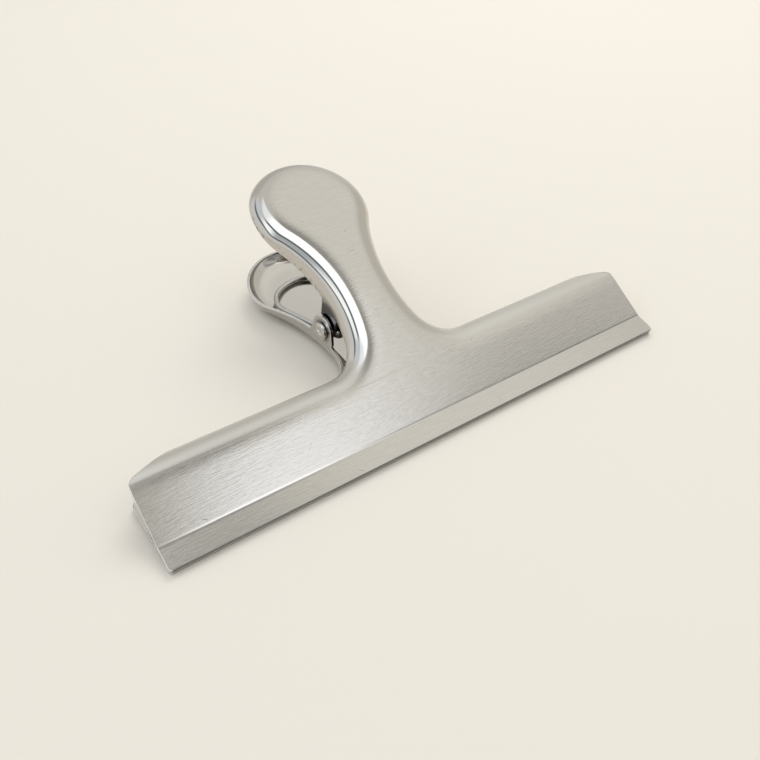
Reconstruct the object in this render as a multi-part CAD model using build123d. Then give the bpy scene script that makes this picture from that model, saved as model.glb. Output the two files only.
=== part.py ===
from build123d import *
import math
import os

# A wide letter clip: two pressed steel plates, hinged on a riveted pin and held shut by a wire spring.
# All sizes are in millimetres and all angles in degrees.
# The clip is drawn with X along the jaws, Y from the lips to the handles and Z up from the mid-plane
# between the two plates. At the end it is laid down the way it rests on a table.

# Steel sheet of both plates
sheet = 0.7

# Jaws
jaw_width = 120.0
jaw_depth = 21.2
jaw_angle = 16.6
lip_depth = 4.5
lip_gap = 0.2
crease_radius = 2.0
corner_length = 10.5
corner_depth = 4.4
corner_blend = 14.0
end_round = 2.4
front_round = 0.5

# Neck and paddle handle, reaching back from the hinge
neck_width = 15.1
neck_fillet = 8.25
paddle_radius = 13.6
paddle_reach = 22.2
paddle_angle = 6.2
knee_reach = 9.9
knee_radius = 150.0

# Rolled shoulder along the edges, and how far it comes down
shoulder_radius = 4.4
jaw_roll = 4.0
neck_skirt = 6.0
paddle_skirt = 3.0
skirt_blend = 40.0

# Hinge, at its distance from the front edge of the lips
hinge_distance = 35.6
hinge_drop = 1.9
outer_ear_radius = 3.6
inner_ear_radius = 2.4
ear_foot = 0.8
ear_clearance = 0.3
pin_radius = 1.5
pin_clearance = 0.05
head_radius = 2.0
head_length = 1.0
head_round = 0.4

# Wire spring, with its loop and arms reaching back from the hinge
wire_radius = 0.6
coil_radius = 2.5
coil_turns = 2
turn_gap = 0.55
coil_half_width = 5.4
loop_reach = 24.8
loop_flare = 13.5
arm_reach = 17.4
spring_clearance = 0.1
arm_clearance = 0.3

# How far the pressing blanks run past the sheet before it is trimmed
overrun = 5.0

paddle_centre = hinge_distance + paddle_reach
knee_distance = hinge_distance + knee_reach
loop_distance = hinge_distance + loop_reach
arm_distance = hinge_distance + arm_reach
lip_top = lip_gap / 2 + sheet
jaw_rise = math.tan(math.radians(jaw_angle))
paddle_rise = math.tan(math.radians(paddle_angle))
knee_height = lip_top + jaw_rise * (knee_distance - lip_depth)
paddle_end = paddle_centre + paddle_radius
blank_end = paddle_end + overrun
blank_height = knee_height + paddle_rise * (blank_end - knee_distance) + overrun
jaw_end = jaw_width / 2
knee_bend = math.radians(jaw_angle - paddle_angle)
knee_tangent = knee_radius * math.tan(knee_bend / 2)


def unit(vector):
    return vector.normalized()


def top_height(y):
    """Height of the upper plate's outer face over the mid-plane, on the straights of its profile."""
    if y < knee_distance:
        return lip_top + jaw_rise * (y - lip_depth)
    return knee_height + paddle_rise * (y - knee_distance)


def knee_centre():
    """Centre of the knee's arc in the side view."""
    angle = math.radians(jaw_angle)
    straight_end = Vector(knee_distance, knee_height) - Vector(math.cos(angle), math.sin(angle)) * knee_tangent
    return straight_end + Vector(math.sin(angle), -math.cos(angle)) * knee_radius


def bent_height(y, inset):
    """Height of the face that lies inset below the outer face, on the knee or the straight behind it."""
    centre = knee_centre()
    arc_end = knee_distance + knee_tangent * math.cos(math.radians(paddle_angle))
    if y < arc_end:
        return centre.Y + math.sqrt((knee_radius - inset) ** 2 - (y - centre.X) ** 2)
    return top_height(y) - inset / math.cos(math.radians(paddle_angle))


def profile_corner(y, z, before, after, inset):
    """Corner of the side profile, moved inward square to the straights before and after it."""
    half = math.radians(after - before) / 2
    mean = math.radians(after + before) / 2
    reach = inset / math.cos(half)
    return (y + reach * math.sin(mean), z - reach * math.cos(mean))


def side_blank(inset, extra):
    """Side view of the pressing: lip, crease, straight jaw and neck, knee and paddle."""
    start = (-extra, lip_top - inset)
    crease = profile_corner(lip_depth, lip_top, 0, jaw_angle, inset)
    knee = profile_corner(knee_distance, knee_height, jaw_angle, paddle_angle, inset)
    end = (blank_end, top_height(blank_end) - inset / math.cos(math.radians(paddle_angle)))
    radii = [crease_radius + inset, knee_radius - inset]
    face_line = FilletPolyline(start, crease, knee, end, radius=radii)
    base_line = Polyline(end, (blank_end, -blank_height), (-extra, -blank_height), start)
    return make_face(face_line.edges() + base_line.edges())


def neck_curve(neck_half):
    """Radius of the neck's waist, which is narrowest at the hinge and runs smoothly into the paddle."""
    span = paddle_centre - hinge_distance
    return (neck_half**2 + span**2 - paddle_radius**2) / (2 * (paddle_radius - neck_half))


def plan_blank(neck_half, inset, extra):
    """Plan view of the pressing, with its walls moved inward by inset."""
    neck_radius = neck_curve(neck_half)
    neck_middle = Vector(neck_half + neck_radius, hinge_distance)
    paddle_middle = Vector(0, paddle_centre)
    fillet_height = jaw_depth + neck_fillet
    fillet_offset = math.sqrt((neck_radius - neck_fillet) ** 2 - (hinge_distance - fillet_height) ** 2)
    fillet_middle = Vector(neck_middle.X - fillet_offset, fillet_height)
    end_x = jaw_end + extra
    back = jaw_depth - inset
    fillet_start = Vector(fillet_middle.X, back)
    fillet_end = fillet_middle + unit(fillet_middle - neck_middle) * (neck_fillet + inset)
    neck_end = neck_middle + unit(paddle_middle - neck_middle) * (neck_radius + inset)
    half = [fillet_start, fillet_end, neck_end]
    points = half + [Vector(-point.X, point.Y) for point in reversed(half)]
    outline = [Line((end_x, back), fillet_start)]
    for point in points[1:]:
        outline.append(TangentArc(outline[-1] @ 1, point, tangent=outline[-1] % 1))
    outline.append(Polyline(points[-1], (-end_x, back), (-end_x, -extra), (end_x, -extra), (end_x, back)))
    return make_face([edge for piece in outline for edge in piece.edges()])


def pressed_blank(neck_half, inset, extra):
    """Block under the pressed face, with the shoulder rolled along the back, the neck and the paddle."""
    plan = plan_blank(neck_half, inset, extra)
    walls = extrude(plan, amount=blank_height, both=True)
    block = walls & extrude(Plane.YZ * side_blank(inset, extra), amount=jaw_end + extra, both=True)
    outline = plan.face().outer_wire()
    margin = extra / 2
    rim = ShapeList()
    for edge in block.edges():
        middle = edge @ 0.5
        on_wall = outline.distance_to(Vertex(middle.X, middle.Y, 0)) < sheet / 100
        upright = abs((edge % 0.5).Z) > 0.9
        open_side = abs(middle.X) > jaw_end + margin or middle.Y < -margin
        if on_wall and not upright and not open_side and middle.Z > 0:
            rim.append(edge)
    return fillet(rim, shoulder_radius - inset)


def skirt_point(y, depth):
    return Vector(y, top_height(y) - depth)


def ear_side(foot, centre, radius, turn):
    """Point where the straight side of an ear, drawn from its foot, meets the round of the ear."""
    away = foot - centre
    angle = math.atan2(away.Y, away.X) + turn * math.acos(radius / away.length)
    return centre + Vector(math.cos(angle), math.sin(angle)) * radius


def side_trim(axis_height, ear_radius):
    """Side view of what is kept of the pressing: all above the skirt's edge, and the hinge's ear."""
    start = Vector(-overrun, -sheet)
    jaw_corner = skirt_point(jaw_depth, jaw_roll)
    neck_corner = skirt_point(hinge_distance, neck_skirt)
    paddle_corner = skirt_point(paddle_centre, paddle_skirt)
    end = skirt_point(blank_end, paddle_skirt)
    skirt_corners = [start, Vector(0, -sheet), jaw_corner, neck_corner, paddle_corner, end]
    lower_line = FilletPolyline(skirt_corners, radius=[0, skirt_blend, 0, skirt_blend])
    upper_line = Polyline(end, (blank_end, blank_height), (-overrun, blank_height), start)
    kept = make_face(lower_line.edges() + upper_line.edges())
    centre = Vector(hinge_distance, axis_height)
    half_foot = ear_radius + ear_foot
    front_foot = neck_corner + unit(jaw_corner - neck_corner) * half_foot
    rear_foot = neck_corner + unit(paddle_corner - neck_corner) * half_foot
    front_side = ear_side(front_foot, centre, ear_radius, 1)
    rear_side = ear_side(rear_foot, centre, ear_radius, -1)
    above = neck_corner + Vector(0, half_foot)
    lug = Polyline(front_foot, front_side, centre, rear_side, rear_foot, above, close=True)
    return kept + make_face(lug.edges()) + Pos(centre) * Circle(ear_radius)


def plan_trim():
    """Plan view of what is kept: the jaw with its clipped back corners, and all of the handle."""
    corner_start = jaw_depth - corner_depth
    corner_x = jaw_end - corner_length
    inner_x = (corner_x + paddle_radius) / 2
    half = [(jaw_end, 0), (jaw_end, corner_start), (corner_x, jaw_depth), (inner_x, jaw_depth)]
    half.append((inner_x, blank_end))
    other_half = [(-x, y) for x, y in reversed(half)]
    radii = [front_round, end_round, corner_blend, 0, 0]
    outline = FilletPolyline(half + other_half, radius=radii + radii[::-1], close=True)
    return make_face(outline.edges())


def plate(neck_half, axis_height, ear_radius, hole_radius):
    """One pressed plate, drawn as the upper one."""
    shell = pressed_blank(neck_half, 0, overrun) - pressed_blank(neck_half, sheet, 2 * overrun)
    side = extrude(Plane.YZ * side_trim(axis_height, ear_radius), amount=jaw_width, both=True)
    plan = extrude(plan_trim(), amount=blank_height, both=True)
    hole = Pos(0, hinge_distance, axis_height) * Rot(Y=90) * Cylinder(hole_radius, jaw_width)
    return (shell & side & plan) - hole


def hinge_pin(neck_half):
    """Riveted pin: a plain shank with a low round head seated on the bowed outside of each outer ear."""
    bow = neck_curve(neck_half)
    half_length = neck_half + bow - math.sqrt(bow**2 - head_radius**2)
    head = Cylinder(head_radius, head_length)
    head = fillet(head.edges().group_by(Axis.Z)[-1], head_round)
    shank = Cylinder(pin_radius, 2 * half_length)
    raised = Pos(0, 0, half_length + head_length / 2) * head
    pin = shank + raised + mirror(raised, about=Plane.XY)
    return Pos(0, hinge_distance, -hinge_drop) * Rot(Y=90) * pin


def biarc(start, start_way, end, end_way):
    """Two tangent arcs from start to end that leave and arrive in the given ways."""
    chord = end - start
    a = 2 * (1 - start_way.dot(end_way))
    b = 2 * chord.dot(start_way + end_way)
    reach = (math.sqrt(b**2 + 4 * a * chord.dot(chord)) - b) / (2 * a)
    first_corner = start + start_way * reach
    second_corner = end - end_way * reach
    joint = (first_corner + second_corner) * 0.5
    first = TangentArc(start, joint, tangent=start_way)
    second = TangentArc(joint, end, tangent=unit(second_corner - first_corner))
    return [first.edge(), second.edge()]


def tangent_angle(target):
    """Angle over the horizontal of the line from the coil's top that passes through the target (Y, Z)."""
    away = target - Vector(hinge_distance, -hinge_drop)
    return math.atan2(away.Y, away.X) - math.asin(coil_radius / away.length)


def spring_half(side):
    """Half of the wire: half of the loop in the lower handle, a coil, and an arm under the upper handle."""
    # The loop rests in the lower handle, whose floor is mirrored about the coil's axis to find its angle.
    wire_rest = bent_height(loop_distance, sheet) - wire_radius - spring_clearance
    leg_fall = tangent_angle(Vector(loop_distance, wire_rest - 2 * hinge_drop))
    arm_rest = bent_height(arm_distance, sheet) - wire_radius - arm_clearance
    arm_rise = tangent_angle(Vector(arm_distance, arm_rest))
    flare = math.radians(loop_flare)
    across = Vector(side, 0, 0)
    along = Vector(0, math.cos(leg_fall), -math.sin(leg_fall))
    leg_way = across * math.sin(flare) + along * math.cos(flare)
    centre = Vector(0, hinge_distance, -hinge_drop)

    def coil_point(angle, x):
        return centre + across * x + Vector(0, coil_radius * math.cos(angle), coil_radius * math.sin(angle))

    # The loop and its leg lie in one plane through the coil's lower side.
    first_angle = -math.pi / 2 - leg_fall
    leg_end = coil_point(first_angle, coil_half_width)
    loop_length = (loop_distance - leg_end.Y) / along.Y
    loop_radius = coil_half_width * math.cos(flare) + loop_length * math.sin(flare)
    loop_radius = loop_radius / (1 + math.sin(flare))
    loop_tip = leg_end - across * coil_half_width + along * loop_length
    turn_middle = loop_tip - along * loop_radius
    leg_start = turn_middle + (across * math.cos(flare) - along * math.sin(flare)) * loop_radius
    edges = [TangentArc(loop_tip, leg_start, tangent=across).edge(), Line(leg_start, leg_end).edge()]

    # The coil winds from the leg towards the middle of the clip, a quarter turn at a time.
    winding = math.pi - leg_fall - arm_rise + 2 * math.pi * coil_turns
    quarters = round(winding / (math.pi / 2))
    step = winding / quarters
    pitch = 2 * wire_radius + turn_gap
    lean = pitch / (2 * math.pi * coil_radius)
    arm_way = Vector(0, math.cos(arm_rise), math.sin(arm_rise))
    place = leg_end
    way = leg_way * -1
    for quarter in range(1, quarters + 1):
        angle = first_angle - quarter * step
        next_place = coil_point(angle, coil_half_width - pitch * quarter * step / (2 * math.pi))
        next_way = unit(across * -lean + Vector(0, math.sin(angle), -math.cos(angle)))
        if quarter == quarters:
            next_way = arm_way
        edges += biarc(place, way, next_place, next_way)
        place = next_place
        way = next_way
    arm_end = place + arm_way * ((arm_distance - place.Y) / arm_way.Y)
    edges.append(Line(place, arm_end).edge())
    return edges


def least_gap(path):
    """Least gap between parts of the wire that lie more than half a turn apart along it."""
    spacing = wire_radius / 2
    count = int(path.length / spacing)
    points = [path.position_at(i / count) for i in range(count + 1)]
    ahead = int(math.pi * coil_radius / spacing)
    gaps = [(points[i] - points[j]).length for i in range(count + 1) for j in range(i + ahead, count + 1)]
    return min(gaps) - 2 * wire_radius


def torsion_spring():
    """One unbroken wire, mirrored about the middle of the clip."""
    path = Wire(spring_half(1) + spring_half(-1))
    section = Plane(origin=path @ 0, z_dir=path % 0) * Circle(wire_radius)
    print("least gap of the spring to itself:", round(least_gap(path), 3))
    return sweep(section, path=path)


def rest_tilt():
    """Tilt at which the lower plate lies on its lip's front edge and on its knee."""
    away = knee_centre() - Vector(0, lip_top)
    return math.degrees(math.atan2(away.Y, away.X) + math.asin(knee_radius / away.length))


inner_half = neck_width / 2
outer_half = inner_half + ear_clearance + sheet
upper = plate(inner_half, -hinge_drop, inner_ear_radius, pin_radius + pin_clearance)
lower = mirror(plate(outer_half, hinge_drop, outer_ear_radius, pin_radius), about=Plane.XY)
pieces = {
    "upper_plate": upper,
    "lower_plate": lower,
    "hinge_pin": hinge_pin(outer_half),
    "torsion_spring": torsion_spring(),
}

# Laid down on a table, with the origin under the middle of the clip.
tilted = {name: Rot(X=rest_tilt()) * piece for name, piece in pieces.items()}
boxes = [piece.bounding_box() for piece in tilted.values()]
front = min(box.min.Y for box in boxes)
rear = max(box.max.Y for box in boxes)
bottom = min(box.min.Z for box in boxes)
laid = Pos(0, -(front + rear) / 2, -bottom)

os.makedirs("parts", exist_ok=True)
for name, piece in tilted.items():
    export_step(laid * piece, f"parts/{name}.step")
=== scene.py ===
import bmesh, bpy, math
from mathutils import Matrix, Vector, kdtree


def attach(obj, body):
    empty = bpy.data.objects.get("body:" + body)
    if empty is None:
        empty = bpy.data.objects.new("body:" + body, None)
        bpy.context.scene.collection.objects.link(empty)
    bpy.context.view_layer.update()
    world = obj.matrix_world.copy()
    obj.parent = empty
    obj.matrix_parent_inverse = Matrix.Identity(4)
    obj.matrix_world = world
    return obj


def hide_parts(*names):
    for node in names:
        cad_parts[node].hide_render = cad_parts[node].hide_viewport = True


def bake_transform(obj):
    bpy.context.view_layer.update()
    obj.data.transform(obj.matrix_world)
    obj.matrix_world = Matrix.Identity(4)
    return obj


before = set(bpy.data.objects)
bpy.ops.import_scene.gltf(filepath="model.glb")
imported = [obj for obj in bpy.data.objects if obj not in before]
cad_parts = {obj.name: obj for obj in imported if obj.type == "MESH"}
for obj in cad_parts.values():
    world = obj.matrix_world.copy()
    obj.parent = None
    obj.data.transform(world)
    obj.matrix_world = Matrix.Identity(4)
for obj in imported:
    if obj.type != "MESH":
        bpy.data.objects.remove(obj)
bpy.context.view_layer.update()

scene = bpy.context.scene
scene.view_settings.view_transform = "Standard"
mm = 0.001
print("frame loaded:", ", ".join(sorted(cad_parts)))

# The clip is drawn in mm, with X along the jaws, Y from the lips to the handles and Z up,
# and is then laid down on its lip and knee.
laid = {"tilt": 14.5612, "shift": (0, -35.8613, 0.7743)}
layDown = Matrix.Translation(laid["shift"]) @ Matrix.Rotation(math.radians(laid["tilt"]), 4, "X")


def inFrame(point):
    # a drawn point in the shared frame, in metres
    return (layDown @ Vector(point)) * mm


def addObject(name, data):
    item = bpy.data.objects.new(name, data)
    scene.collection.objects.link(item)
    return item


# shader sums as plain expressions
class Sock:
    def __init__(self, tree, socket=None):
        self.tree, self.socket = tree, socket

    def make(self, kind, settings=None, sockets=None, out=0):
        node = self.tree.nodes.new(kind)
        for name, value in (settings or {}).items():
            setattr(node, name, value)
        for key, value in (sockets or {}).items():
            if isinstance(value, Sock):
                self.tree.links.new(value.socket, node.inputs[key])
            else:
                node.inputs[key].default_value = value
        return Sock(self.tree, node.outputs[out])

    def sums(self, operation, first, second):
        return self.make("ShaderNodeMath", {"operation": operation}, {0: first, 1: second})

    def __add__(self, other):
        return self.sums("ADD", self, other)

    def __sub__(self, other):
        return self.sums("SUBTRACT", self, other)

    def __rsub__(self, other):
        return self.sums("SUBTRACT", other, self)

    def __mul__(self, other):
        return self.sums("MULTIPLY", self, other)

    __radd__ = __add__
    __rmul__ = __mul__

    def ease(self, low, high):  # 0 below low, 1 above high, smooth between
        return self.make("ShaderNodeMapRange", {"interpolation_type": "SMOOTHSTEP"},
                         {0: self, 1: low, 2: high})

    def tint(self, under, top):  # from one colour to another, by this value
        ends = [colour if isinstance(colour, Sock) else (*colour, 1) for colour in (under, top)]
        return self.make("ShaderNodeMix", {"data_type": "RGBA"}, {0: self, 6: ends[0], 7: ends[1]}, 2)


def newFinish(name):
    material = bpy.data.materials.new(name)
    material.use_nodes = True
    shader = material.node_tree.nodes["Principled BSDF"]
    return material, shader, Sock(material.node_tree)


def feed(shader, **sockets):
    for name, value in sockets.items():
        target = shader.inputs[name.replace("_", " ")]
        if isinstance(value, Sock):
            value.tree.links.new(value.socket, target)
        else:
            target.default_value = value


noiseMiddle = 0.5  # what noise swings round
# the pin's axis, and the reaches over which the painted shade on the wire fades out round it
hinge = {"axis": (0, 35.6, -1.9), "shadeFrom": 2.5, "shadeTo": 4.4}  # as drawn, mm


def shadeNearHinge(start, place):
    # 1 round the hinge pin, where shade is painted into the wire's colour, and 0 away from it
    away = start.make("ShaderNodeVectorMath", {"operation": "SUBTRACT"}, {0: place, 1: inFrame(hinge["axis"])})
    away = start.make("ShaderNodeVectorMath", {"operation": "MULTIPLY"}, {0: away, 1: (0, 1, 1)})
    reach = start.make("ShaderNodeVectorMath", {"operation": "LENGTH"}, {0: away}, "Value")
    return 1 - reach.ease(hinge["shadeFrom"] * mm, hinge["shadeTo"] * mm)


brushedPlate = {
    "dark": (0.545, 0.525, 0.490), "light": (0.585, 0.567, 0.535), "tintRange": (0.3, 0.7),
    "rough": 0.16, "roughSwing": 0.08, "polished": 0.07,
    "fine": (620, 7400), "broad": (330, 3600), "fineShare": 0.45, "broadShare": 0.55,
    "strokeDetail": 2.0, "strokeSpread": 0.6, "bump": 0.8, "bumpDepth": 0.000042,
    "rubbed": (0.78, 0.765, 0.73), "rubbedShare": 0.4, "matteRough": 0.28,
    "cutBright": (0.74, 0.73, 0.715), "cutShare": 0.8, "cutRough": 0.20,
    "mark": (0.15, 0.14, 0.13), "tickShare": 0.6, "tickBend": 150.0, "tickWidth": 0.0045,
    "tickScale": 420.0, "tickRare": (0.690, 0.705), "tickSeeds": (1.7, 5.3),
    "burrShare": 0.6, "burrScale": 1250.0, "burrRange": (0.50, 0.64), "burrDetail": 2.0, "burrSeed": 3.1,
    # near-black colour of the painted shade round the hinge pin and along the lip's front cut edge
    "paintedShade": (0.04, 0.037, 0.034),
}


def brushedSteel(settings):
    material, shader, start = newFinish("brushedSteel")
    place = start.make("ShaderNodeTexCoord", out="Object")
    polish, cutEdge, burr, matte, paintedShade = (
        start.make("ShaderNodeAttribute", {"attribute_name": name}, out="Fac")
        for name in ("polish", "cutEdge", "burr", "matte", "paintedShade"))

    def strokes(along, across):
        # noise drawn out along X, in strokes per metre
        drawn = start.make("ShaderNodeMapping", None, {"Vector": place, "Scale": (along, across, across)})
        return start.make("ShaderNodeTexNoise", None, {
            "Vector": drawn, "Scale": 1.0,
            "Detail": settings["strokeDetail"], "Roughness": settings["strokeSpread"]})

    def noise(scale, seed, detail=0.0):
        return start.make("ShaderNodeTexNoise", {"noise_dimensions": "4D"}, {
            "Vector": place, "W": seed, "Scale": scale, "Detail": detail})

    fine, broad = strokes(*settings["fine"]), strokes(*settings["broad"])
    stroke = fine * settings["fineShare"] + broad * settings["broadShare"]
    bare = 1 - polish
    bump = start.make("ShaderNodeBump", None, {
        "Strength": settings["bump"], "Distance": settings["bumpDepth"], "Height": stroke * bare})
    brushed = settings["rough"] + (stroke - noiseMiddle) * settings["roughSwing"]
    rough = brushed * bare + polish * settings["polished"]
    rough = rough + cutEdge * (settings["cutRough"] - settings["polished"]) + matte * settings["matteRough"]

    # a few short scratches: thin contours of one noise, kept only where another is high
    bendSeed, rareSeed = settings["tickSeeds"]
    bend = noise(settings["tickBend"], bendSeed) - noiseMiddle
    contour = start.make("ShaderNodeMath", {"operation": "ABSOLUTE"}, {0: bend})
    rare = noise(settings["tickScale"], rareSeed).ease(*settings["tickRare"])
    tick = (1 - contour.ease(0, settings["tickWidth"])) * rare
    # dark pits along the sheared edges
    pits = noise(settings["burrScale"], settings["burrSeed"], settings["burrDetail"])
    specks = pits.ease(*settings["burrRange"]) * burr
    marks = tick * bare * settings["tickShare"] + specks * settings["burrShare"]

    tone = ((stroke - noiseMiddle) * bare + noiseMiddle).ease(*settings["tintRange"])
    steel = tone.tint(settings["dark"], settings["light"])
    # the last layer paints shade into the colour: near black round the hinge pin and along the lip's front cut
    # edge
    layers = {"rubbed": matte * settings["rubbedShare"], "cutBright": cutEdge * settings["cutShare"],
              "mark": marks, "paintedShade": paintedShade}
    for colour, amount in layers.items():
        steel = amount.tint(steel, settings[colour])
    feed(shader, Metallic=1.0, Base_Color=steel, Roughness=rough, Normal=bump)
    return material


rivetSteel = {"dark": (0.50, 0.48, 0.46), "light": (0.66, 0.64, 0.61), "tintRange": (0.3, 0.7),
              "rough": 0.17, "roughSwing": 0.08, "spotScale": 1800.0, "spotDetail": 3.0, "shadeShare": 0.0}
# the wire gets painted shade round the hinge pin, and the rivet none
wireSteel = {"dark": (0.52, 0.51, 0.495), "light": (0.60, 0.59, 0.575), "tintRange": (0.3, 0.7),
             "rough": 0.12, "roughSwing": 0.08, "spotScale": 1800.0, "spotDetail": 3.0, "shadeShare": 0.85}


def drawnSteel(name, settings):
    material, shader, start = newFinish(name)
    place = start.make("ShaderNodeTexCoord", out="Object")
    spots = start.make("ShaderNodeTexNoise", None, {
        "Vector": place, "Scale": settings["spotScale"], "Detail": settings["spotDetail"]})
    colour = spots.ease(*settings["tintRange"]).tint(settings["dark"], settings["light"])
    # painted shade on the wire round the hinge pin
    if settings["shadeShare"]:
        colour = (shadeNearHinge(start, place) * settings["shadeShare"]).tint(colour, brushedPlate["paintedShade"])
    rough = settings["rough"] + (spots - noiseMiddle) * settings["roughSwing"]
    feed(shader, Metallic=1.0, Base_Color=colour, Roughness=rough)
    return material


plateFinish = brushedSteel(brushedPlate)
rivetFinish = drawnSteel("rivetSteel", rivetSteel)
wireFinish = drawnSteel("springSteel", wireSteel)
print("finishes made")

# Pressed plates: the outer skin of the pressing is laid out as rows of points, then given the sheet's
# thickness and rounded cut edges.
pressing = {
    "sheet": 0.7, "edgeRound": 0.12, "miterLimit": 0.7, "jawEnd": 60.0, "jawDepth": 21.2, "jawAngle": 16.6,
    "lipDepth": 4.5, "lipTop": 0.8, "lipEdgeDepth": 0.3, "creaseRadius": 2.0,
    "creaseLine": 4.8, "creaseDip": 0.085, "dipWidth": 0.3, "shineWidth": 0.35,
    "cornerLength": 10.5, "cornerDepth": 4.4, "cornerBlend": 14.0, "endRound": 2.4, "frontRound": 0.5,
    "neckFillet": 8.25, "paddleRadius": 13.6, "paddleY": 57.8, "paddleAngle": 6.2,
    "kneeY": 45.5, "kneeRadius": 150.0, "hingeY": hinge["axis"][1], "earFoot": 0.8,
    "shoulder": 4.4, "jawRoll": 4.0, "neckSkirt": 6.0, "paddleSkirt": 3.0, "skirtBlend": 40.0,
    "softBefore": 3.2, "softPast": 0.8, "rollEase": 1.2, "leastRoll": 1.0,
    "burrFrom": 0.74, "burrOver": 0.26, "insidePolish": 0.85, "insideMatte": 0.3,
}
# each plate has a ring of painted shade round the pin (from, to, strength), less of it on the inner face, and
# painted shade on the lip's front cut edge
plates = {
    "upperPlate": {"neckHalf": 7.55, "earHeight": -1.9, "earRadius": 2.4, "hole": 1.55, "up": 1,
                   "body": "upper_half", "node": "upper_plate", "shadeRing": (6.0, 8.4, 0.95),
                   "shadeInside": 0.4, "lipEdgeShade": 0.6, "burr": 1.0},
    "lowerPlate": {"neckHalf": 8.55, "earHeight": 1.9, "earRadius": 3.6, "hole": 1.5, "up": -1,
                   "body": "lower_half", "node": "lower_plate", "shadeRing": (2.1, 3.1, 0.75),
                   "shadeInside": 0.8, "lipEdgeShade": 0.3, "burr": 0.25},
}
density = {
    "filletSteps": 26, "paddleSteps": 56, "neckGap": 0.55, "across": 22, "shoulderRows": 18,
    "earRings": 5, "earSide": 5, "earRound": 26, "edgeArc": 3, "searchSteps": 40,
    "lipRows": (0, 0.3, 0.9, 1.7, 2.5, 3.3, 3.9), "creaseSteps": 8,
    "slopeRows": (4.86, 4.95, 5.06, 5.2, 5.4), "flatStart": 6.0, "flatSteps": 4, "softSteps": 10,
    "softMargin": 0.5, "barGap": 1.6, "cornerMargin": 3, "cornerSlack": 0.3,
    "endGaps": (0, 0.2, 0.42, 0.7, 1.05, 1.45, 1.9, 2.4), "cornerFrom": 3, "cornerGap": 0.75,
    "cornerSteps": 14,
}
hairGap = 1e-6  # mm


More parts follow.
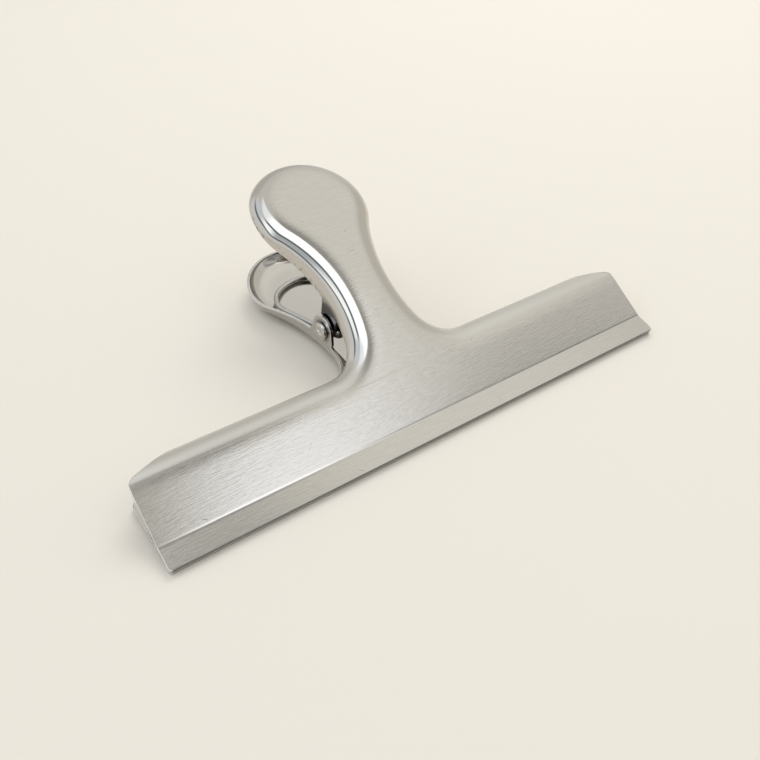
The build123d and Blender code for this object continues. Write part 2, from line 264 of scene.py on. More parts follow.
class Pressing:
    def __init__(self, p, plate, d):
        self.p, self.plate, self.d = p, plate, d
        self.jaw, self.paddle = math.radians(p["jawAngle"]), math.radians(p["paddleAngle"])
        kneeZ = self.straightTop(p["kneeY"])
        tangent = p["kneeRadius"] * math.tan((self.jaw - self.paddle) / 2)
        self.kneeMiddle = (p["kneeY"] - math.cos(self.jaw) * tangent + math.sin(self.jaw) * p["kneeRadius"],
                           kneeZ - math.sin(self.jaw) * tangent - math.cos(self.jaw) * p["kneeRadius"])
        half, span = plate["neckHalf"], p["paddleY"] - p["hingeY"]
        self.neckRadius = (half**2 + span**2 - p["paddleRadius"]**2) / (2 * (p["paddleRadius"] - half))
        self.neckMiddle = Vector((half + self.neckRadius, p["hingeY"]))
        filletY = p["jawDepth"] + p["neckFillet"]
        offset = math.sqrt((self.neckRadius - p["neckFillet"])**2 - (p["hingeY"] - filletY)**2)
        self.filletMiddle = Vector((self.neckMiddle.x - offset, filletY))
        drops = ((p["jawDepth"], p["jawRoll"]), (p["hingeY"], p["neckSkirt"]), (p["paddleY"], p["paddleSkirt"]),
                 (p["paddleY"] + p["paddleRadius"], p["paddleSkirt"]))
        self.skirt = [Vector((0, -p["sheet"]))]
        self.skirt += [Vector((y, self.straightTop(y) - drop)) for y, drop in drops]

    def straightTop(self, y):
        p = self.p
        rise = math.tan(self.jaw) * (min(y, p["kneeY"]) - p["lipDepth"])
        return p["lipTop"] + rise + math.tan(self.paddle) * max(y - p["kneeY"], 0)

    def face(self, y, inset=0.0):
        # height and slope of the face that lies inset below the outer one
        p, radius = self.p, self.p["kneeRadius"] - inset
        middleY, middleZ = self.kneeMiddle
        arcStart, arcEnd = middleY - radius * math.sin(self.jaw), middleY - radius * math.sin(self.paddle)
        creaseStart = p["lipDepth"] - p["creaseRadius"] * math.tan(self.jaw / 2)
        if y < creaseStart:
            return p["lipTop"] - inset, 0.0
        if y < creaseStart + p["creaseRadius"] * math.sin(self.jaw) and inset == 0:
            slope = math.asin((y - creaseStart) / p["creaseRadius"])
            return p["lipTop"] + p["creaseRadius"] * (1 - math.cos(slope)), slope
        if y < arcStart:
            return middleZ + radius * math.cos(self.jaw) - math.tan(self.jaw) * (arcStart - y), self.jaw
        if y < arcEnd:
            slope = math.asin((middleY - y) / radius)
            return middleZ + radius * math.cos(slope), slope
        return middleZ + radius * math.cos(self.paddle) + math.tan(self.paddle) * (y - arcEnd), self.paddle

    def skirtAt(self, y):
        # height of the free edge, with its first and last corners eased
        corners = self.skirt
        i = max(k for k in range(len(corners) - 1) if k == 0 or corners[k].x <= y)
        rise = [(b.y - a.y) / (b.x - a.x) for a, b in zip(corners, corners[1:])]
        height = corners[i].y + rise[i] * (y - corners[i].x)
        for k in (1, 3):
            change = rise[k] - rise[k - 1]
            ease = self.p["skirtBlend"] * abs(change) / 2
            away = y - corners[k].x
            if abs(away) < ease:
                height = corners[k].y + rise[k - 1] * away + change * (away + ease)**2 / (4 * ease)
        return height

    def shoulderAt(self, place, inward, share):
        # point and normal on the rolled shoulder and its wall, from the flat (0) to the free edge (1)
        radius = self.p["shoulder"]
        middle = place + inward * radius
        height, slope = self.face(middle.y, radius)
        centre = Vector((middle.x, middle.y, height))
        flat = Vector((0, -math.sin(slope), math.cos(slope)))
        wall = Vector((-inward.x, -inward.y, 0))
        turn = flat.angle(wall)

        def onRoll(angle):
            way = (flat * math.sin(turn - angle) + wall * math.sin(angle)) / math.sin(turn)
            lean = self.softLean(angle * radius)
            normal = (flat * math.sin(turn - lean) + wall * math.sin(lean)) / math.sin(turn)
            return centre + way * radius, normal

        drop = height - self.skirtAt(place.y)
        if drop > 0:  # the free edge is on the wall
            length = share * (turn * radius + drop)
            if length > turn * radius:
                return Vector((place.x, place.y, height - (length - turn * radius))), wall
            return onRoll(length / radius)
        low, high = 0.0, turn  # the free edge is on the roll, and is found by halving
        for step in range(self.d["searchSteps"]):
            middle = (low + high) / 2
            point = onRoll(middle)[0]
            low, high = (middle, high) if point.z > self.skirtAt(point.y) else (low, middle)
        return onRoll(share * low)

    def softLean(self, reach):
        # turn of the surface at a reach past the shoulder's start, which the press leaves a little soft
        p = self.p
        if reach >= p["softPast"]:
            return reach / p["shoulder"]
        share = max(reach + p["softBefore"], 0) / (p["softPast"] + p["softBefore"])
        return p["softPast"] / p["shoulder"] * share**2

    def stations(self):
        # places along the right half of the outline, from the jaw's back edge to the tip of the paddle
        p, d = self.p, self.d
        way = (self.filletMiddle - self.neckMiddle).normalized()
        filletStart, filletEnd = 1.5 * math.pi, math.atan2(way.y, way.x) % (2 * math.pi)
        result = []
        for i in range(d["filletSteps"]):
            angle = filletStart + (filletEnd - filletStart) * i / d["filletSteps"]
            out = Vector((math.cos(angle), math.sin(angle)))
            result.append((self.filletMiddle + out * p["neckFillet"], out))
        front, rear = self.earFeet()
        paddleMiddle = Vector((0, p["paddleY"]))
        paddleStart = self.neckMiddle + (paddleMiddle - self.neckMiddle).normalized() * self.neckRadius
        filletStop = self.filletMiddle + way * p["neckFillet"]
        stops = [filletStop.y, front.x, p["hingeY"], rear.x, paddleStart.y]
        for a, b in zip(stops, stops[1:]):
            count = max(2, round((b - a) / d["neckGap"]))
            for i in range(count):
                result.append(self.onNeck(a + (b - a) * i / count))
        start = math.atan2(paddleStart.y - p["paddleY"], paddleStart.x)
        for i in range(d["paddleSteps"]):
            angle = start + (math.pi / 2 - start) * i / d["paddleSteps"]
            out = Vector((math.cos(angle), math.sin(angle)))
            result.append((paddleMiddle + out * p["paddleRadius"], -out))
        tip = Vector((0, 1))
        result.append((paddleMiddle + tip * p["paddleRadius"], -tip))
        return result

    def onNeck(self, y):
        rise = (y - self.p["hingeY"]) / self.neckRadius
        out = Vector((-math.sqrt(1 - rise**2), rise))
        return self.neckMiddle + out * self.neckRadius, out

    def earFeet(self):
        reach = self.plate["earRadius"] + self.p["earFoot"]
        corner = self.skirt[2]
        return (corner + (self.skirt[1] - corner).normalized() * reach,
                corner + (self.skirt[3] - corner).normalized() * reach)

    def earOutline(self):
        # the ear's edge in the side view, from its rear foot round to its front foot
        d = self.d
        centre, radius = Vector((self.p["hingeY"], self.plate["earHeight"])), self.plate["earRadius"]
        front, rear = self.earFeet()
        turns = []
        for foot, side in ((rear, -1), (front, 1)):
            away = foot - centre
            turns.append(math.atan2(away.y, away.x) + side * math.acos(radius / away.length))
        rearTurn, frontTurn = turns
        frontTurn -= 2 * math.pi if frontTurn > rearTurn else 0
        rim = []
        for i in range(d["earRound"] + 1):
            angle = rearTurn + (frontTurn - rearTurn) * i / d["earRound"]
            rim.append(centre + Vector((math.cos(angle), math.sin(angle))) * radius)
        sides = [i / d["earSide"] for i in range(1, d["earSide"])]
        return ([rear.lerp(rim[0], share) for share in sides] + rim
                + [rim[-1].lerp(front, share) for share in sides])

    def barEnds(self, x):
        # where the jaw starts and ends in Y at a place along it
        p = self.p
        fromEnd = p["jawEnd"] - abs(x)
        start = 0.0
        if fromEnd < p["frontRound"]:
            start = p["frontRound"] - math.sqrt(p["frontRound"]**2 - (p["frontRound"] - fromEnd)**2)
        slope = p["cornerDepth"] / p["cornerLength"]
        angle = math.atan(slope)
        cut = p["jawDepth"] - p["cornerDepth"] + fromEnd * slope
        blendX = p["cornerLength"] - p["cornerBlend"] * math.tan(angle / 2) * math.cos(angle)
        if fromEnd > blendX:
            away = min(fromEnd - blendX, p["cornerBlend"] * math.sin(angle))
            lean = angle - math.asin(math.sin(angle) - away / p["cornerBlend"])
            cut = (p["jawDepth"] - p["cornerDepth"] + blendX * slope
                   + p["cornerBlend"] * (math.cos(angle - lean) - math.cos(angle)))
        reach = p["endRound"] * math.tan((math.pi / 2 - angle) / 2)
        if fromEnd < reach * math.cos(angle):
            middle = p["jawDepth"] - p["cornerDepth"] - reach
            cut = middle + math.sqrt(p["endRound"]**2 - (p["endRound"] - fromEnd)**2)
        return start, cut

    def barFace(self, y):
        # height and normal of the jaw bar at a place across it, with its rolled back edge
        p, radius = self.p, self.p["shoulder"]
        middle = p["jawDepth"] - radius
        if y < middle - radius * math.sin(self.jaw):
            height, slope = self.face(y)
            return height, Vector((0, -math.sin(slope), math.cos(slope)))
        lean = math.asin(min((y - middle) / radius, 1.0))
        soft = self.softLean((lean + self.jaw) * radius) - self.jaw
        height = self.face(middle, radius)[0] + radius * math.cos(lean)
        return height, Vector((0, math.sin(soft), math.cos(soft)))


class Skin:
    def __init__(self):
        self.points, self.normals, self.polish, self.burr = [], [], [], []
        self.faces, self.seen, self.matte = [], {}, {}

    def add(self, point, normal, polish=0.0, burr=0.0):
        key = tuple(round(value, 4) + 0.0 for value in point)
        if key not in self.seen:
            self.seen[key] = len(self.points)
            self.points.append(Vector(point))
            self.normals.append(Vector(normal).normalized())
            self.polish.append(polish)
            self.burr.append(burr)
        return self.seen[key]

    def grid(self, rows):
        for a, b in zip(rows, rows[1:]):
            for i in range(len(a) - 1):
                loop = [a[i], a[i + 1], b[i + 1], b[i]]
                loop = [corner for k, corner in enumerate(loop) if corner != loop[k - 1]]
                if len(set(loop)) < 3:
                    continue
                p = [self.points[corner] for corner in loop]
                cross = (p[1] - p[0]).cross(p[2] - p[0]) + (p[-2] - p[0]).cross(p[-1] - p[0])
                out = sum((self.normals[corner] for corner in loop), Vector())
                self.faces.append(loop if cross.dot(out) > 0 else loop[::-1])


def eased(value):
    value = max(0.0, min(1.0, value))
    return value * value * (3 - 2 * value)


def softenShoulder(skin, form, stations, columns, contactY):
    # the flat leans over a little where it comes near the shoulder
    starts = []
    for side in (-1, 1):
        starts += [((side * x, contactY, form.face(contactY)[0]), Vector((0, 1, 0))) for x in columns]
        for place, inward in stations:
            start = form.shoulderAt(place, inward, 0.0)[0]
            starts.append(((side * start.x, start.y, start.z), Vector((-side * inward.x, -inward.y, 0))))
    tree = kdtree.KDTree(len(starts))
    for i, (start, wall) in enumerate(starts):
        tree.insert(start, i)
    tree.balance()
    for v, point in enumerate(skin.points):
        if skin.polish[v] == 0:
            nearest, i, gap = tree.find(point)
            lean = form.softLean(-gap)
            if lean > 0:
                normal, wall = skin.normals[v], starts[i][1]
                across = (wall - normal * wall.dot(normal)).normalized()
                skin.normals[v] = normal * math.cos(lean) + across * math.sin(lean)


def layOut(form):
    p, d, skin = form.p, form.d, Skin()
    contactY = p["jawDepth"] - p["shoulder"] * (1 + math.sin(form.jaw))
    shares = [k / d["shoulderRows"] for k in range(d["shoulderRows"] + 1)]
    stations = form.stations()

    # jaw bar: rows across it, columns along it
    tangent = p["creaseRadius"] * math.tan(form.jaw / 2)
    creaseStart, creaseEnd = p["lipDepth"] - tangent, p["lipDepth"] + tangent * math.cos(form.jaw)
    steps = d["creaseSteps"]
    creaseRows = [creaseStart + (creaseEnd - creaseStart) * k / steps for k in range(steps + 1)]
    frontRows = [*d["lipRows"], *creaseRows, *d["slopeRows"]]
    first, softY = d["flatStart"], contactY - p["softBefore"] - d["softMargin"]
    flatRows = [first + (softY - first) * k / d["flatSteps"] for k in range(d["flatSteps"])]
    flatRows += [softY + (contactY - softY) * k / d["softSteps"] for k in range(d["softSteps"] + 1)]
    back, inward = Vector((0, p["jawDepth"])), Vector((0, -1))
    rollRows = [form.shoulderAt(back, inward, share)[0].y for share in shares[1:]]
    freeY = rollRows[-1]
    shareOut = [k / d["across"] for k in range(d["across"] + 1)]
    # closer near the shoulders
    shareOut = [share / 2 + (1 - math.cos(math.pi * share)) / 4 for share in shareOut]
    filletX = form.filletMiddle.x
    cornerX = p["jawEnd"] - p["cornerLength"] - d["cornerMargin"]
    barCount = round((cornerX - filletX) / d["barGap"])
    fromEnd = [*d["endGaps"], *(d["cornerFrom"] + d["cornerGap"] * k for k in range(d["cornerSteps"]))]
    columns = [filletX + (cornerX - filletX) * k / barCount for k in range(barCount)]
    endColumns = [p["jawEnd"] - gap for gap in reversed(fromEnd)]
    columns += [x for x in endColumns if x > cornerX - d["cornerSlack"]]
    middle = [filletX * (2 * share - 1) for share in shareOut]

    def barPoint(x, y):
        # the crease is burnished by the press tool, and dips a little before the jaw's slope starts
        height, normal = form.barFace(y)
        fromCrease = abs(y - p["creaseLine"])
        dip = p["creaseDip"] * (1 - eased(fromCrease / p["dipWidth"]))
        rolled = eased((y - contactY) / p["rollEase"])
        shine = max(rolled, 1 - eased(fromCrease / p["shineWidth"]))
        index = skin.add((x, y, height), Matrix.Rotation(dip, 3, "X") @ normal, shine)
        skin.matte[index] = rolled
        return index

    def barColumn(x, rear):
        start, cut = form.barEnds(x)
        end = min(freeY, cut)
        lead = d["lipRows"][-1]
        ys = [start + (lead - start) * y / lead if y < lead else y for y in frontRows]
        knee = min(contactY, end - p["leastRoll"])
        for y in rear:
            if y <= contactY:
                ys.append(first + (y - first) * (knee - first) / (contactY - first))
            else:
                ys.append(knee + (y - contactY) * (end - knee) / (freeY - contactY))
        return [barPoint(x, y) for y in ys]

    for side in (-1, 1):
        skin.grid([barColumn(side * x, flatRows + rollRows) for x in columns])
    skin.grid([barColumn(x, flatRows) for x in middle])

    # neck and paddle: rows across the flat, one for each station, and the rolled shoulder on both sides
    def flatRow(station):
        contact = form.shoulderAt(*station, 0.0)[0]
        slope = form.face(contact.y)[1]
        normal = (0, -math.sin(slope), math.cos(slope))
        return [skin.add((contact.x * (2 * share - 1), contact.y, contact.z), normal) for share in shareOut]

    skin.grid([flatRow(station) for station in stations])
    softenShoulder(skin, form, stations, columns, contactY)
    edge = {}
    for side in (-1, 1):
        rows = []
        for n, station in enumerate(stations):
            row = []
            dull = 1 - eased(n / d["filletSteps"])  # the jaw's dull roll turns bright along the fillet
            for share in shares:
                point, normal = form.shoulderAt(*station, share)
                rolled = eased(share * p["shoulder"] * math.pi / 2 / p["rollEase"])
                burr = eased((share - p["burrFrom"]) / p["burrOver"])
                row.append(skin.add((side * point.x, *point.yz), (side * normal.x, *normal.yz), rolled, burr))
                skin.matte[row[-1]] = rolled * dull
            rows.append(row)
        skin.grid(rows)
        edge[side] = [row[-1] for row in rows]

    # ears: rings of points from the pin's hole out to the ear's edge and the skirt above it
    front, rear = form.earFeet()
    centre = Vector((p["hingeY"], form.plate["earHeight"]))
    alongY = [place.y for place, inward in stations]
    top = [k for k, y in enumerate(alongY) if front.x - hairGap < y < rear.x + hairGap]
    outline = [Vector((alongY[k], form.skirtAt(alongY[k]))) for k in top] + form.earOutline()
    for side in (-1, 1):
        rings = []
        for k in range(d["earRings"] + 1):
            ring = []
            for i, spot in enumerate(outline):
                if k == d["earRings"] and i < len(top):
                    ring.append(edge[side][top[i]])
                    continue
                near = centre + (spot - centre).normalized() * form.plate["hole"]
                flat = near.lerp(spot, k / d["earRings"])
                place, inward = form.onNeck(flat.x)
                ring.append(skin.add((side * place.x, place.y, flat.y), (-side * inward.x, -inward.y, 0), 1.0))
            rings.append(ring + ring[:1])
        skin.grid(rings)
    return skin


def pressSheet(skin, p, d):
    # the skin's border, its rounded cut edge and the inner face
    pairs = {(loop[k - 1], loop[k]) for loop in skin.faces for k in range(len(loop))}
    after = {a: b for a, b in pairs if (b, a) not in pairs}
    before = {b: a for a, b in after.items()}
    points, normals, sheet, soft = skin.points, skin.normals, p["sheet"], p["edgeRound"]
    outward = {}
    for v in after:
        ways = [(points[v] - points[before[v]]).normalized().cross(normals[v]),
                (points[after[v]] - points[v]).normalized().cross(normals[v])]
        mean = (ways[0] + ways[1]).normalized()
        outward[v] = mean, 1 / max(mean.dot(ways[0].normalized()), p["miterLimit"])
    count = len(points)
    allPoints = list(points)
    for v, (mean, stretch) in outward.items():
        allPoints[v] = points[v] - mean * stretch * soft
    allPoints += [place - normals[v] * sheet for v, place in enumerate(allPoints)]
    allNormals = normals + [-normal for normal in normals]
    polish = skin.polish + [max(value, p["insidePolish"]) for value in skin.polish]  # the inside is left bright
    cut, burr = [0.0] * len(allPoints), skin.burr + [0.0] * count
    faces = skin.faces + [[corner + count for corner in reversed(loop)] for loop in skin.faces]
    turns = [math.pi / 2 * k / d["edgeArc"] for k in range(1, d["edgeArc"] + 1)]
    turns = [(turn, soft) for turn in turns] + [(math.pi - turn, sheet - soft) for turn in reversed(turns)]
    rings = {v: [v] for v in after}
    for v in after:
        mean, stretch = outward[v]
        for turn, depth in turns:
            rings[v].append(len(allPoints))
            lift = normals[v] * (math.cos(turn) * soft) + mean * (stretch * soft * math.sin(turn))
            allPoints.append(points[v] - mean * (stretch * soft) - normals[v] * depth + lift)
            allNormals.append(normals[v] * math.cos(turn) + mean * math.sin(turn))
            polish.append(skin.polish[v])
            burr.append(skin.burr[v])
            cut.append(1.0)
        rings[v].append(v + count)
    for a, b in after.items():
        for k in range(len(turns) + 1):
            faces.append([rings[b][k], rings[a][k], rings[a][k + 1], rings[b][k + 1]])
    matte = [skin.matte.get(v, 0.0) for v in range(count)]
    matte += [max(p["insideMatte"] * (1 - polish[v]), matte[v]) for v in range(count)]
    matte += [0.0] * (len(allPoints) - 2 * count)
    return allPoints, allNormals, {"polish": polish, "cutEdge": cut, "burr": burr, "matte": matte}, faces


def makePlate(name, plate, finish):
    skin = layOut(Pressing(pressing, plate, density))
    points, normals, marks, faces = pressSheet(skin, pressing, density)
    flip = Vector((1, 1, plate["up"]))
    turned = layDown.to_3x3()
    low, high, most = plate["shadeRing"]  # painted shade round the pin, near black
    reach = [((point * flip - Vector(hinge["axis"])) * Vector((0, 1, 1))).length for point in points]
    marks["paintedShade"] = [most * (1 - eased((gap - low) / (high - low))) for gap in reach]
    for v in range(len(skin.points), 2 * len(skin.points)):  # less of it inside
        marks["paintedShade"][v] *= plate["shadeInside"]
    marks["burr"] = [plate["burr"] * value for value in marks["burr"]]
    lipEnd = pressing["jawEnd"] - pressing["frontRound"]
    for v, point in enumerate(points):  # painted shade darkens the lip's front cut edge
        if marks["cutEdge"][v] and point.y < pressing["lipEdgeDepth"] and abs(point.x) < lipEnd:
            marks["paintedShade"][v] = plate["lipEdgeShade"]
    if plate["up"] < 0:  # mirrored, so its faces turn round
        faces = [loop[::-1] for loop in faces]
    mesh = bpy.data.meshes.new(name)
    mesh.from_pydata([inFrame(point * flip) for point in points], [], faces)
    for label, values in marks.items():
        mesh.attributes.new(label, "FLOAT", "POINT").data.foreach_set("value", values)
    mesh.shade_smooth()
    mesh.normals_split_custom_set_from_vertices([turned @ (normal * flip) for normal in normals])
    mesh.materials.append(finish)
    piece = addObject(name, mesh)
    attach(piece, plate["body"])
    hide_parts(plate["node"])
    print(name, "pressed:", len(mesh.polygons), "faces")


for name, plate in plates.items():
    makePlate(name, plate, plateFinish)

# Hinge rivet: a turned pin with a head on each end, peened with a cross-shaped punch.
rivet = {
    "shank": 1.5, "seat": 8.603, "seatRound": 0.05, "headRadius": 2.0, "headLength": 1.0, "round": 0.42,
    "crown": 0.10, "headRim": ((0, 0.10), (0.08, 0.02), (0.25, 0)), "dent": 0.45, "dentReach": 1.5,
    "dentWidth": 0.5, "sides": 96, "roundSteps": 6, "faceRings": 19, "sharpAngle": 50, "mergeGap": 1e-7,
}


def rivetProfile(r):
    # pairs of place along the pin and radius, from its middle out to the middle of one head
    end, edge = r["seat"] + r["headLength"], r["headRadius"] - r["round"]
    pairs = [(0, r["shank"]), (r["seat"] - r["seatRound"], r["shank"]), (r["seat"], r["shank"] + r["seatRound"])]
    pairs += [(r["seat"] + along, r["headRadius"] - inward) for along, inward in r["headRim"]]
    for k in range(r["roundSteps"] + 1):
        turn = math.pi / 2 * k / r["roundSteps"]
        along = end - r["crown"] - r["round"] + r["round"] * math.sin(turn)
        pairs.append((along, edge + r["round"] * math.cos(turn)))
    for k in range(1, r["faceRings"]):
        radius = edge * (1 - k / r["faceRings"])
        pairs.append((end - r["crown"] * (radius / edge)**2, radius))
    return pairs


def peened(r, along, radius, angle):
    # place along the pin, with the punch's cross sunk into the head
    if radius > r["dentReach"] or along < r["seat"] + r["headLength"] / 2:
        return along
    off = min(abs(radius * math.sin(angle)), abs(radius * math.cos(angle)))
    return along - r["dent"] * (1 - eased(off / r["dentWidth"])) * (1 - eased(radius / r["dentReach"]))


def makeRivet(r, finish):
    pairs, sides, centre = rivetProfile(r), r["sides"], Vector(hinge["axis"])
    points, faces = [], []
    for side in (-1, 1):
        base = len(points)
        for along, radius in pairs:
            for i in range(sides):
                angle = 2 * math.pi * i / sides
                place = side * peened(r, along, radius, angle)
                points.append(Vector((place, radius * math.cos(angle), radius * math.sin(angle))) + centre)
        points.append(Vector((side * (r["seat"] + r["headLength"] - r["dent"]), 0, 0)) + centre)
        for k in range(len(pairs)):
            for i in range(sides):
                a, b = base + k * sides + i, base + k * sides + (i + 1) % sides
                loop = [a, b, len(points) - 1] if k == len(pairs) - 1 else [a, b, b + sides, a + sides]
                faces.append(loop if side > 0 else loop[::-1])
    mesh = bpy.data.meshes.new("hingeRivet")
    mesh.from_pydata([inFrame(point) for point in points], [], faces)
    work = bmesh.new()
    work.from_mesh(mesh)
    bmesh.ops.remove_doubles(work, verts=work.verts, dist=r["mergeGap"])
    bmesh.ops.recalc_face_normals(work, faces=work.faces)
    work.to_mesh(mesh)
    work.free()
    mesh.shade_smooth()
    mesh.set_sharp_from_angle(angle=math.radians(r["sharpAngle"]))
    mesh.materials.append(finish)
    piece = addObject("hingeRivet", mesh)
    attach(piece, "lower_half")
    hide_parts("hinge_pin")
    print("rivet peened:", len(mesh.polygons), "faces")


makeRivet(rivet, rivetFinish)

# Wire spring: a loop in the lower handle, a coil on each side and an arm under the upper handle.
spring = {
    "wireRadius": 0.6, "coilRadius": 2.5, "turns": 2, "pitch": 1.75, "halfWidth": 5.4,
    "loopY": 60.4, "armY": 53.0, "flare": 13.5, "legFall": 19.3069, "armRise": 32.4012,
    "sides": 24, "steps": 16, "lowerEdge": -1.7, "upperEdge": 1.5,
}


def springStations(s):
    # places along half of the wire, with its direction there and the turn up to the next place
    fall, rise, flare = (math.radians(s[name]) for name in ("legFall", "armRise", "flare"))
    centre, across = Vector(hinge["axis"]), Vector((1, 0, 0))
    along = Vector((0, math.cos(fall), -math.sin(fall)))

    def onCoil(angle, x):
        return centre + Vector((x, s["coilRadius"] * math.cos(angle), s["coilRadius"] * math.sin(angle)))

    firstAngle = -math.pi / 2 - fall
    legEnd = onCoil(firstAngle, s["halfWidth"])
    length = (s["loopY"] - legEnd.y) / along.y
    bend = (s["halfWidth"] * math.cos(flare) + length * math.sin(flare)) / (1 + math.sin(flare))
    tip = legEnd - across * s["halfWidth"] + along * length
    legStart = tip - along * bend + (across * math.cos(flare) - along * math.sin(flare)) * bend
    legWay = -(across * math.sin(flare) + along * math.cos(flare))
    halfBend = (math.pi / 2 + flare) / 2
    between = onArc(tip - along * bend, across, along, bend, halfBend)
    stations = [(tip, across, bend, halfBend), (*between, bend, halfBend), (legStart, legWay, 0, 0)]

    winding = math.pi - fall - rise + 2 * math.pi * s["turns"]
    quarters = round(winding / (math.pi / 2))
    step = winding / quarters
    lean = s["pitch"] / (2 * math.pi * s["coilRadius"])
    stations.append((legEnd, legWay, s["coilRadius"], step))
    for quarter in range(1, quarters + 1):
        angle = firstAngle - quarter * step
        place = onCoil(angle, s["halfWidth"] - s["pitch"] * quarter * step / (2 * math.pi))
        way = (Vector((-lean, math.sin(angle), -math.cos(angle)))).normalized()
        last = quarter == quarters
        if last:
            way = Vector((0, math.cos(rise), math.sin(rise)))
        stations.append((place, way, 0 if last else s["coilRadius"], step))
    stations.append((place + way * ((s["armY"] - place.y) / way.y), way, 0, 0))
    return stations


def onArc(middle, across, along, radius, angle):
    place = middle + (across * math.sin(angle) + along * math.cos(angle)) * radius
    return place, across * math.cos(angle) - along * math.sin(angle)


def springPath(s):
    half = springStations(s)
    flip = Vector((-1, 1, 1))
    whole = [(place * flip, -(way * flip)) for place, way, *bend in reversed(half[1:])]
    whole += [(place, way) for place, way, *bend in half]
    # handles that follow an arc, or a third of a straight run
    reach = [4 / 3 * math.tan(turn / 4) * radius if radius else 0 for place, way, radius, turn in half[:-1]]
    reach = [r or (half[i + 1][0] - half[i][0]).length / 3 for i, r in enumerate(reach)]
    reach = reach[::-1] + reach
    curve = bpy.data.curves.new("springPath", "CURVE")
    curve.dimensions = "3D"
    spline = curve.splines.new("BEZIER")
    spline.resolution_u = s["steps"]
    spline.bezier_points.add(len(whole) - 1)
    for i, (point, (place, way)) in enumerate(zip(spline.bezier_points, whole)):
        before, after = reach[max(i - 1, 0)], reach[min(i, len(reach) - 1)]
        point.co = inFrame(place)
        point.handle_left_type = point.handle_right_type = "FREE"
        point.handle_left, point.handle_right = inFrame(place - way * before), inFrame(place + way * after)
    return addObject("springPath", curve)


def wireTree():
    # a round wire drawn along the curve that it is given
    tree = bpy.data.node_groups.new("drawnWire", "GeometryNodeTree")
    face = tree.interface
    face.new_socket("Geometry", in_out="INPUT", socket_type="NodeSocketGeometry")
    kinds = {"Wire Radius": "NodeSocketFloat", "Sides": "NodeSocketInt", "Finish": "NodeSocketMaterial"}
    names = {name: face.new_socket(name, in_out="INPUT", socket_type=kind).identifier
             for name, kind in kinds.items()}
    face.new_socket("Geometry", in_out="OUTPUT", socket_type="NodeSocketGeometry")
    start, end = tree.nodes.new("NodeGroupInput"), tree.nodes.new("NodeGroupOutput")
    given = {socket.name: Sock(tree, socket) for socket in start.outputs if socket.name}
    step = Sock(tree)
    ring = step.make("GeometryNodeCurvePrimitiveCircle", None, {
        "Resolution": given["Sides"], "Radius": given["Wire Radius"]})
    tube = step.make("GeometryNodeCurveToMesh", None, {
        "Curve": given["Geometry"], "Profile Curve": ring, "Fill Caps": True})
    smooth = step.make("GeometryNodeSetShadeSmooth", None, {"Geometry": tube})
    real = step.make("GeometryNodeRealizeInstances", None, {"Geometry": smooth})
    done = step.make("GeometryNodeSetMaterial", None, {"Geometry": real, "Material": given["Finish"]})
    tree.links.new(done.socket, end.inputs[0])
    return tree, names


def plainMesh(maker, name):
    # the evaluated result as a plain mesh, with the maker taken away
    graph = bpy.context.evaluated_depsgraph_get()
    mesh = bpy.data.meshes.new_from_object(maker.evaluated_get(graph), depsgraph=graph)
    mesh.name = name
    maker.modifiers.clear()
    bpy.data.objects.remove(maker)
    return addObject(name, mesh)


path = springPath(spring)
drawn = path.modifiers.new("drawnWire", "NODES")
drawn.node_group, inputNames = wireTree()
drawn[inputNames["Wire Radius"]] = spring["wireRadius"] * mm
drawn[inputNames["Sides"]] = spring["sides"]
drawn[inputNames["Finish"]] = wireFinish
springPiece = plainMesh(path, "springWire")
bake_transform(springPiece)
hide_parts("torsion_spring")
print("spring drawn:", len(springPiece.data.polygons), "faces")

# Floor, light and camera.
room = {"floorSize": 3.0, "floorColour": (0.785, 0.733, 0.655), "floorRough": 0.8,
        "air": (0.72, 0.71, 0.68), "strength": 1.16, "patchEdge": (0.1, 1)}
# soft patches of the studio round the clip: middle and reach, across (X) and in depth (Y), of the
# direction looked in
patches = {
    "ceiling": {"middle": (0.47, 0.08), "reach": (0.32, 0.62), "turn": 0, "colour": (0.87, 0.86, 0.805)},
    "beam": {"middle": (0.165, -0.03), "reach": (0.21, 0.28), "turn": 0, "colour": (0.37, 0.37, 0.35)},
    "rightWall": {"middle": (0.98, 0.15), "reach": (0.34, 0.66), "turn": 0, "colour": (0.66, 0.64, 0.575)},
    "back": {"middle": (0.20, 1.08), "reach": (0.95, 0.46), "turn": 0, "colour": (0.56, 0.55, 0.51)},
    "skylight": {"middle": (0.28, -0.40), "reach": (0.27, 0.17), "turn": 28, "colour": (1.30, 1.33, 1.39)},
    "softBox": {"middle": (0.29, -0.56), "reach": (0.20, 0.10), "turn": 0, "colour": (1.6, 1.64, 1.7)},
    "leftFront": {"middle": (0.03, -0.38), "reach": (0.18, 0.30), "turn": 0, "colour": (0.40, 0.39, 0.33)},
    "corner": {"middle": (0.63, -0.66), "reach": (0.27, 0.46), "turn": 0, "colour": (0.26, 0.26, 0.25)},
    "dimBox": {"middle": (0.60, -0.57), "reach": (0.30, 0.15), "turn": 0, "colour": (0.56, 0.56, 0.53)},
    "front": {"middle": (0.0, -1.10), "reach": (1.50, 0.50), "turn": 0, "colour": (0.30, 0.30, 0.31)},
}
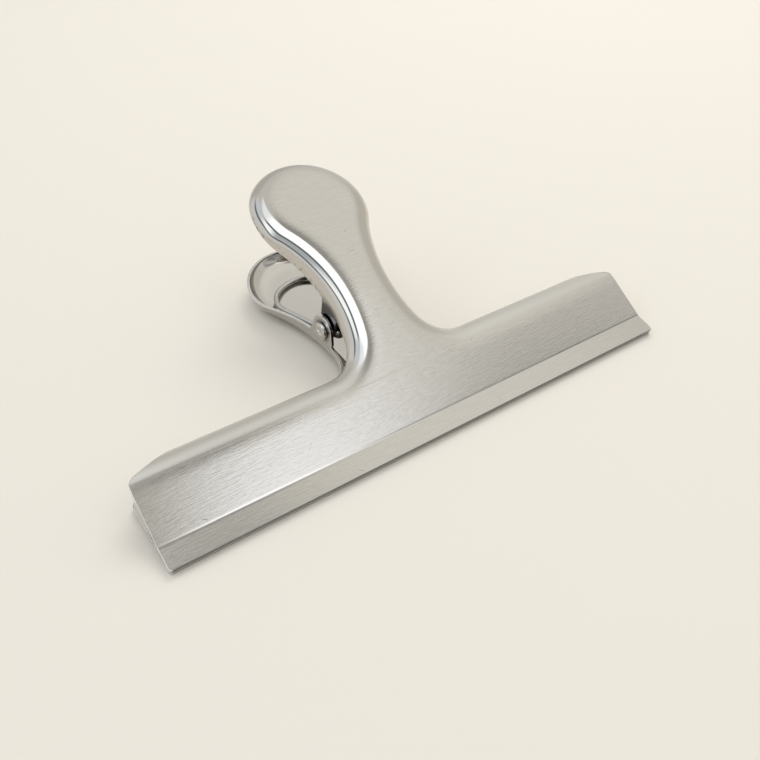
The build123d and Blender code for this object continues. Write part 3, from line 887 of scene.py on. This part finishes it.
# tall light on the left: a bright pane over a dark bar, a strip and a lower bar, all fading towards the back
sidePane = {
    "left": (0.15, 0.35), "wall": (0.80, 0.80, 0.80), "barColour": (0.14, 0.16, 0.175),
    "pane": (1.70, 1.76, 1.84), "backPane": (1.14, 1.20, 1.26), "farPane": (0.74, 0.76, 0.79),
    "paneFrom": (0.72, 0.78), "front": (-0.62, -0.40), "backFade": (0.03, 0.26), "farFade": (0.36, 0.74),
    "inner": (-0.03, 0.05), "innerStep": 0.3, "innerFade": (-0.40, -0.22),
    "rise": 0.10, "riseOver": (-0.40, 0.10), "bar": (0.61, 0.65, 0.70, 0.75), "barFade": (0.08, 0.50),
    "strip": (1.38, 1.46, 1.52), "frontStrip": (0.55, 0.60, 0.64), "backStrip": (0.76, 0.82, 0.88),
    "stripGrow": (-0.24, 0.06), "stripFade": (0.18, 0.46),
    "lowRise": 0.20, "lowRiseOver": (-0.10, 0.34),
    "lowBar": (0.20, 0.24, 0.31, 0.36), "lowBarFade": (0.70, 0.90),
}


def paleFloor(settings):
    half = settings["floorSize"] / 2
    corners = [(-half, -half, 0), (half, -half, 0), (half, half, 0), (-half, half, 0)]
    mesh = bpy.data.meshes.new("floor")
    mesh.from_pydata(corners, [], [(0, 1, 2, 3)])
    floor = addObject("floor", mesh)
    material, shader, start = newFinish("paleFloor")
    feed(shader, Base_Color=(*settings["floorColour"], 1), Roughness=settings["floorRough"])
    mesh.materials.append(material)


def band(value, low, lowIn, highIn, high):
    return value.ease(low, lowIn) * (1 - value.ease(highIn, high))


def lightPatches(wall, side, depth):
    for patch in patches.values():
        turn = math.radians(patch["turn"])
        offSide, offDepth = side - patch["middle"][0], depth - patch["middle"][1]
        across = (offSide * math.cos(turn) + offDepth * math.sin(turn)) * (1 / patch["reach"][0])
        along = (offDepth * math.cos(turn) - offSide * math.sin(turn)) * (1 / patch["reach"][1])
        wall = (1 - (across * across + along * along).ease(*room["patchEdge"])).tint(wall, patch["colour"])
    return wall


def lightPane(wall, side, depth, height, s):
    left = (0 - side).ease(*s["left"])
    wall = left.tint(wall, s["wall"])
    high = height - depth.ease(*s["riseOver"]) * s["rise"]
    low = height - depth.ease(*s["lowRiseOver"]) * s["lowRise"]
    strip = depth.ease(*s["stripGrow"]).tint(s["frontStrip"], s["strip"])
    strip = depth.ease(*s["stripFade"]).tint(strip, s["backStrip"])
    wall = (left * low.ease(*s["lowBar"][2:])).tint(wall, strip)
    pane = depth.ease(*s["backFade"]).tint(s["pane"], s["backPane"])
    pane = depth.ease(*s["farFade"]).tint(pane, s["farPane"])
    inner = side + (1 - depth.ease(*s["innerFade"])) * s["innerStep"]
    shown = high.ease(*s["paneFrom"]) * (1 - inner.ease(*s["inner"])) * depth.ease(*s["front"])
    wall = shown.tint(wall, pane)
    for level, bar in ((high, "bar"), (low, "lowBar")):
        dark = band(level, *s[bar]) * (1 - depth.ease(*s[bar + "Fade"])) * left
        wall = dark.tint(wall, s["barColour"])
    return wall


paleFloor(room)
world = bpy.data.worlds.new("studioAir")
scene.world = world
world.use_nodes = True
sky = Sock(world.node_tree)
way = sky.make("ShaderNodeTexCoord", out="Generated")
side, depth, height = (sky.make("ShaderNodeSeparateXYZ", None, {0: way}, axis) for axis in "XYZ")
wall = lightPane(lightPatches(room["air"], side, depth), side, depth, height, sidePane)
feed(world.node_tree.nodes["Background"], Color=wall, Strength=room["strength"])

# a soft lamp behind on the right gives the floor its shadow, and the steel shows only the studio
lamp = {"place": (0.34, 0.24, 0.58), "size": 0.40, "power": 1.45, "colour": (1.0, 0.985, 0.95)}
glow = bpy.data.lights.new("softLamp", "AREA")
glow.size, glow.energy, glow.color = lamp["size"], lamp["power"], lamp["colour"]
softLamp = addObject("softLamp", glow)
softLamp.location = lamp["place"]
softLamp.rotation_euler = Vector(lamp["place"]).to_track_quat("Z", "Y").to_euler()
softLamp.visible_glossy = False

eye = {"place": (-0.075532, -0.116632, 0.107661), "turn": (49.4838, -0.7366, -34.8706),
       "lens": 36.136, "sensor": 36.0, "near": 0.005}
lens = bpy.data.cameras.new("eye")
lens.lens, lens.sensor_width, lens.clip_start = eye["lens"], eye["sensor"], eye["near"]
camera = addObject("eye", lens)
camera.location = eye["place"]
camera.rotation_euler = [math.radians(angle) for angle in eye["turn"]]
scene.camera = camera
print("floor, lamp and camera set")
